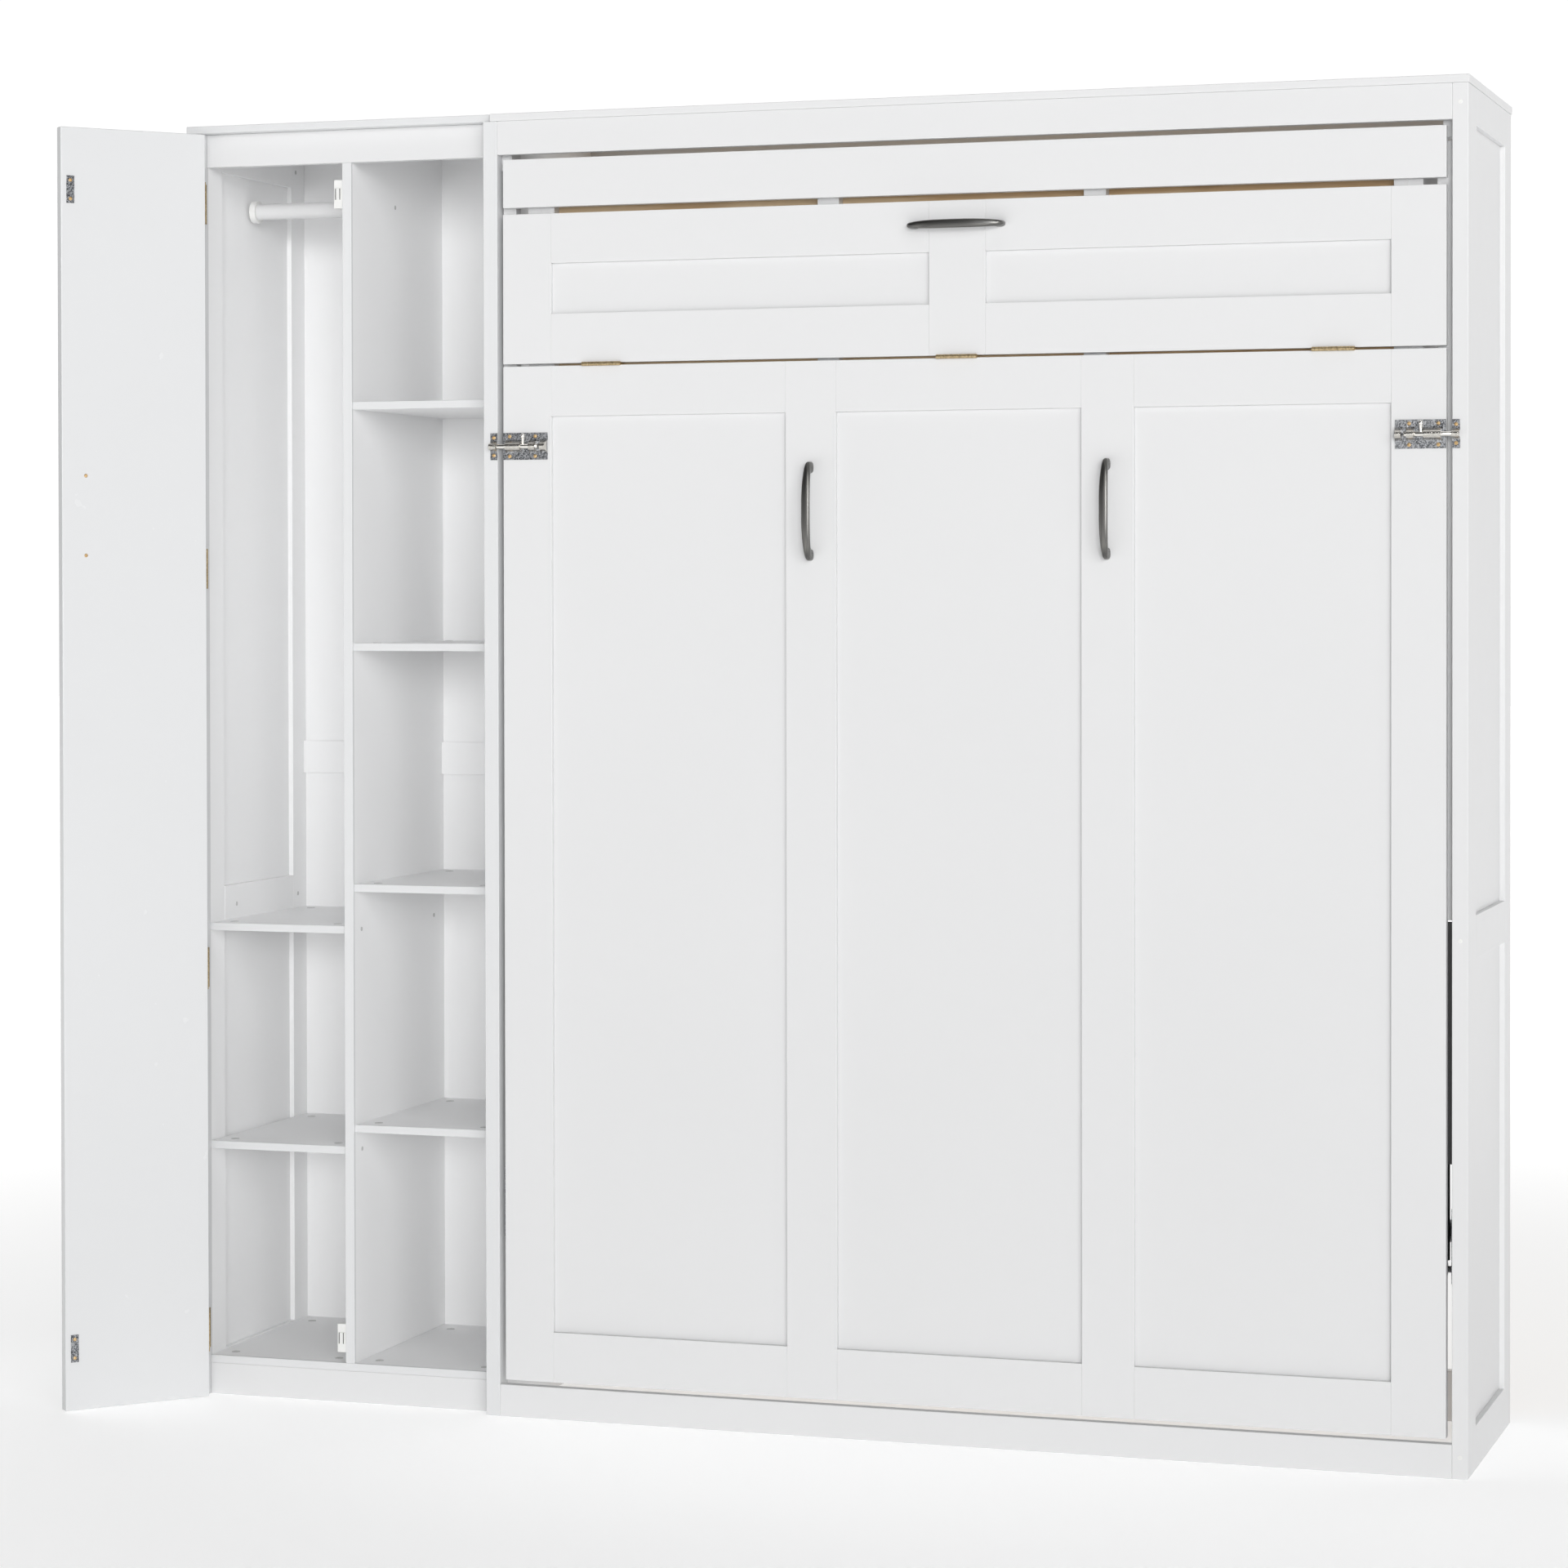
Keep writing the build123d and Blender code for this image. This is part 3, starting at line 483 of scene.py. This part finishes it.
# ---------------------------------------------------------------- bow pulls
def bow(count=96, around=24):
    """Rings and UV of one bow pull along X, on the plane Y = 0 and rising towards -Y.

    An edge of the strap at angle t has x = -L |cos t|^(2/n) and rise = (h + 9 (1 - (x / L)^2)) |sin t|^(2/n), with
    L, h, n = 77, 21, 7 outside and 59, 15.5, 4 inside. The section at t is an oval from edge to edge, whose
    half width is 4.4 + 2.35 (1 - (x / L)^4) and swells by 0.5 in the foot."""
    t = np.linspace(0, math.pi, count)
    edges = []
    for length, height, n in ((77.0, 21.0, 7.0), (59.0, 15.5, 4.0)):
        x = -length * powered(np.cos(t), 2 / n)
        rise = (height + 9 * (1 - (x / length) ** 2)) * np.abs(np.sin(t)) ** (2 / n)
        edges.append(np.stack([x, -rise, 0 * x], axis=1))
    outer, inner = edges
    middle, half = (outer + inner) / 2, (inner - outer) / 2
    along = outer[:, 0] / 77
    width = 4.4 + 2.35 * (1 - along**4) + 0.5 * np.clip(1 + outer[:, 1] / 16, 0, 1)
    angle = np.linspace(0, 2 * math.pi, around, endpoint=False)
    across = powered(np.cos(angle), 0.75)[None, :, None] * half[:, None, :]
    sideways = np.zeros((count, around, 3))
    sideways[..., 2] = width[:, None] * powered(np.sin(angle), 0.85)
    rings = (middle[:, None, :] + across + sideways) * MM
    uv = np.stack(np.meshgrid(t / math.pi, angle / (2 * math.pi), indexing="ij"), axis=2)
    return rings, uv.reshape(-1, 2)


def set_pull(name, node, place, upright=True, swing=0.0):
    """A bow pull at a place on a front, upright or level, swung about the door's pin in degrees."""
    rings, uv = bow()
    at = rings[..., [2, 1, 0]] * (-1, 1, 1) if upright else rings
    at = at + place
    cos, sin = math.cos(math.radians(swing)), math.sin(math.radians(swing))
    pin = np.array((-1.282, -0.437, 0.0))
    at = (at - pin) @ np.array([(cos, sin, 0), (-sin, cos, 0), (0, 0, 1)]) + pin
    return piece(name, at.reshape(-1, 3), tube(at), finishes["pewter"], body_of_node[node], "pewter", (node,), uv=uv)


front_y = -0.438
for name, x in (("front_pull_left", -0.23667), ("front_pull_right", 0.23667)):
    set_pull(name, "front_pulls", (x, front_y, 1.443))
set_pull("leg_bow_pull", "leg_pull", (0, front_y, 1.881), upright=False)
set_pull("door_bow_pull", "door_pull", (-1.074, -0.432, 1.442), swing=-132.0)


# ---------------------------------------------------------------- barrel bolts
BOLT_AT = np.array((0.0, -445.5, 1550.0))


def stamped(x0, x1, humps, base, radius, half_height, soft=0.9):
    """Grid of a stamped plate: along Z it is flat at depth base, and over each hump it runs up a flared flank
    and round the bolt. Between them every point is flat + h (hump - flat), where h climbs over soft mm."""
    turn = np.linspace(0, math.pi, 17)
    lift = base - BOLT_AT[1]
    flank_z = np.array((radius + 4.2, radius + 2.2, radius + 0.9, radius + 0.25))
    flank_up = np.array((0.0, 0.35, 1.4, lift * 0.55))
    rim = np.array((half_height, half_height - 1, radius + 7, radius + 5))
    z = np.concatenate([-rim, -flank_z, -radius * np.cos(turn), flank_z[::-1], rim[::-1]])
    up = np.concatenate([0 * rim, flank_up, lift + radius * np.sin(turn), flank_up[::-1], 0 * rim])
    flat = np.linspace(-1, 1, len(z)) * half_height
    x = np.unique(np.concatenate([np.linspace(x0, x1, 60)] + [np.linspace(e - soft, e + soft, 5) for h in humps for e in h]))
    x = x[(x >= x0) & (x <= x1)]
    share = sum(np.clip((x - a) / soft + 0.5, 0, 1) * np.clip((b - x) / soft + 0.5, 0, 1) for a, b in humps)
    share = (share * share * (3 - 2 * share))[:, None]
    grid = np.stack(np.broadcast_arrays(x[:, None], base - share * up, BOLT_AT[2] + flat + share * (z - flat)), axis=2)
    # how far the sheet stands up, carried in UV to place the zinc's painted highlight
    painted_highlight_lift = np.clip(share * up / 3, 0, 1)
    return grid * MM, np.stack([painted_highlight_lift, 0 * painted_highlight_lift], axis=2).reshape(-1, 2)


def sheet(name, stamping, thick, material, body, slot, stands_for):
    """A grid made into sheet metal of a thickness that grows inwards."""
    grid, uv = stamping
    faces = quads(*grid.shape[:2])
    made = piece(name, grid.reshape(-1, 3), faces, material, body, slot, stands_for, uv=uv)
    solid = made.modifiers.new("thickness", "SOLIDIFY")
    solid.thickness = thick * MM
    solid.offset = -1.0
    keep_crisp(made, 38)


def keep_crisp(made, degrees):
    """Edges sharper than an angle are not shaded smooth."""
    crisp = made.modifiers.new("crisp", "EDGE_SPLIT")
    crisp.split_angle = math.radians(degrees)


HOUSING = ((6.5, 33.0), (46.5, 58.0), (65.5, 75.4))
for side, name in ((-1, "left"), (1, "right")):
    humps = [tuple(sorted((side * (751 - a), side * (751 - b)))) for a, b in HOUSING]
    ends = sorted((side * 675.2, side * 750.9))
    plate = stamped(*ends, humps, -439.5, 6.6, 21.4)
    sheet(f"{name}_bolt_housing", plate, 1.2, finishes["zinc"], body_of_node["bolt_housings"], "zinc", ("bolt_housings",))
    ends = sorted((side * 760.2, side * 771.8))
    plate = stamped(*ends, [(ends[0] - 9, ends[1] + 9)], -441.2, 5.5, 21.4)
    sheet(f"{name}_bolt_keeper", plate, 1.0, finishes["zinc"], body_of_node["bolt_keepers"], "zinc", ("bolt_keepers",))

    rod = turned([(689.1, 3.2), (689.9, 3.95), (769.4, 3.95), (770.9, 2.6)])
    rod = rod if side > 0 else rod[::-1] * (-1, 1, 1)
    rod = rod + BOLT_AT * MM
    up = turned([(0, 2.5), (11.5, 2.5), (12.6, 2.7), (13.6, 3.0), (14.6, 3.35), (16.2, 3.6), (18.0, 3.5), (19.3, 2.9), (20.3, 1.6), (20.6, 0.4)])
    up = up[..., [1, 2, 0]] + (BOLT_AT + (side * 714.5, 0, 0)) * MM
    shapes = [(rod.reshape(-1, 3), tube(rod)), (up.reshape(-1, 3), tube(up))]
    points = np.vstack([shape[0] for shape in shapes])
    faces = shapes[0][1] + [[corner + len(shapes[0][0]) for corner in face] for face in shapes[1][1]]
    node = f"{name}_bolt"
    made = piece(f"{name}_bolt_rod", points, faces, finishes["polished_steel"], body_of_node[node], "polished_steel", (node,))
    keep_crisp(made, 50)


# ---------------------------------------------------------------- cam fittings and screw covers
def buttons(name, spots, facing, radius, material, slot, body):
    """Round covers 0.5 mm proud, with an eased rim and a cross slot's dimple in the middle, at (x, y, z) in mm.

    Turned from the profile (radius, height): outer rim, eased edge, flat top, dimple."""
    profile = [(0, radius), (0.35, radius), (0.5, radius - 0.3), (0.5, radius * 0.36), (0.1, radius * 0.22)]
    ring = turned(profile, 20)
    order, signs = {
        "+z": ([1, 2, 0], (1, 1, 1)), "-z": ([2, 1, 0], (1, 1, -1)), "+x": ([0, 1, 2], (1, 1, 1)), "-y": ([1, 0, 2], (1, -1, 1))
    }[facing]
    ring = ring[..., order] * signs
    points = np.concatenate([ring.reshape(-1, 3) + np.array(spot) * MM for spot in spots])
    count = ring.shape[0] * ring.shape[1]
    faces = [[corner + count * i for corner in face] for i in range(len(spots)) for face in tube(ring)]
    made = piece(name, points, faces, material, body, slot)
    keep_crisp(made, 30)


cover = moulded_plastic("cam_cover", (0.50, 0.50, 0.50), (0.62, 0.62, 0.61))
cabinet = body_of_node["divider"]
left_levels, right_levels = (64.0, 416.5, 775.5), (64.0, 452.5, 844.0, 1235.5, 1627.0)
shelf_cams = [(x, y, z) for z in left_levels for x in (-1256, -1070) for y in (-376, -78)]
shelf_cams += [(x, y, z) for z in right_levels for x in (-998, -812) for y in (-376, -78)]
buttons("shelf_cam_covers", shelf_cams, "+z", 7.0, cover, "white_plastic", cabinet)
rail_screws = [(-1284, y, z) for z in (33, 799.5, 2040) for y in (-310, -70)]
wall_screws = [(-1026, y, z) for z in (410, 769) for y in (-380, -80)] + [(-1026, -235, 1957)]
buttons("side_screw_covers", rail_screws + wall_screws, "+x", 3.6, cover, "white_plastic", cabinet)
top_screws = [(x, -150, 2068) for x in (-1150, -890)]
buttons("top_screw_covers", top_screws, "-z", 3.6, cover, "white_plastic", cabinet)
post_plugs = [(772, -440, z) for z in (33, 799.5, 2040)]
buttons("post_plugs", post_plugs, "-y", 3.6, finishes["white_plastic"], "white_plastic", cabinet)


def pole_plates():
    """The two steel edges of the magnet in each catch."""
    half = np.array((0.7, 0.9, 9.0)) * MM
    middles = [np.array((x, -411.75, z)) * MM for x in (-1053.3, -1046.0) for z in (104, 1964)]
    points, faces, normals = joined([eased_board(middle, np.eye(3), half, 0.2 * MM) for middle in middles])
    piece("catch_pole_plates", points, faces, finishes["black_enamel"], cabinet, "black_enamel", normals=normals)


pole_plates()


# ---------------------------------------------------------------- stage
def far_softbox(name, right, up, spread, strength):
    """A broad far light in front of the bed, so many degrees to the right and up, and so many wide."""
    data = bpy.data.lights.new(name, "SUN")
    data.energy = strength
    data.angle = math.radians(spread)
    made = bpy.data.objects.new(name, data)
    bpy.context.scene.collection.objects.link(made)
    made.visible_camera = False
    turn, lift = math.radians(right), math.radians(up)
    away = Vector((-math.sin(turn) * math.cos(lift), math.cos(turn) * math.cos(lift), -math.sin(lift)))
    made.matrix_world = away.to_track_quat("-Z", "Y").to_matrix().to_4x4()


def surround():
    """The white room round the object: bright behind it and dimmer in front and above."""
    world = bpy.data.worlds.new("surround")
    bpy.context.scene.world = world
    world.use_nodes = True
    tree = world.node_tree
    where = tree.nodes.new("ShaderNodeTexCoord")
    axes = tree.nodes.new("ShaderNodeSeparateXYZ")
    level = tree.nodes.new("ShaderNodeMapRange")
    level.interpolation_type = "SMOOTHSTEP"
    for socket, value in zip(("From Min", "From Max", "To Min", "To Max"), (0.25, 0.85, 0.09, 1.04)):
        level.inputs[socket].default_value = value
    tree.links.new(where.outputs["Generated"], axes.inputs[0])
    tree.links.new(axes.outputs["Y"], level.inputs["Value"])
    background = tree.nodes["Background"]
    background.inputs["Color"].default_value = (1.0, 1.0, 1.0, 1.0)
    tree.links.new(level.outputs[0], background.inputs["Strength"])


def studio():
    """Pale floor, soft lights and the camera."""
    side = 40.0
    corners = np.array([(-side, -side, 0), (side, -side, 0), (side, side, 0), (-side, side, 0)], float)
    mesh = bpy.data.meshes.new("floor")
    mesh.from_pydata(corners.tolist(), [], [(0, 1, 2, 3)])
    mesh.materials.append(pale_floor())
    floor = bpy.data.objects.new("floor", mesh)
    bpy.context.scene.collection.objects.link(floor)

    surround()
    bpy.context.scene.view_settings.view_transform = "Standard"
    far_softbox("front_light", 21, 4, 22, 1.58)
    far_softbox("top_light", 10, 78, 50, 0.45)
    far_softbox("key_light", 44, 16, 24, 0.64)

    data = bpy.data.cameras.new("camera")
    data.lens = 93.38
    data.sensor_width = 36.0
    data.shift_y = -0.0889
    camera = bpy.data.objects.new("camera", data)
    bpy.context.scene.collection.objects.link(camera)
    yaw, pitch, roll = math.radians(18.181), math.radians(0.749), math.radians(-0.097)
    ahead = Vector((-math.sin(yaw) * math.cos(pitch), math.cos(yaw) * math.cos(pitch), -math.sin(pitch)))
    turn = ahead.to_track_quat("-Z", "Y").to_matrix().to_4x4()
    camera.matrix_world = Matrix.Translation((1.698, -6.4627, 1.3184)) @ turn @ Matrix.Rotation(roll, 4, "Z")
    bpy.context.scene.camera = camera


studio()
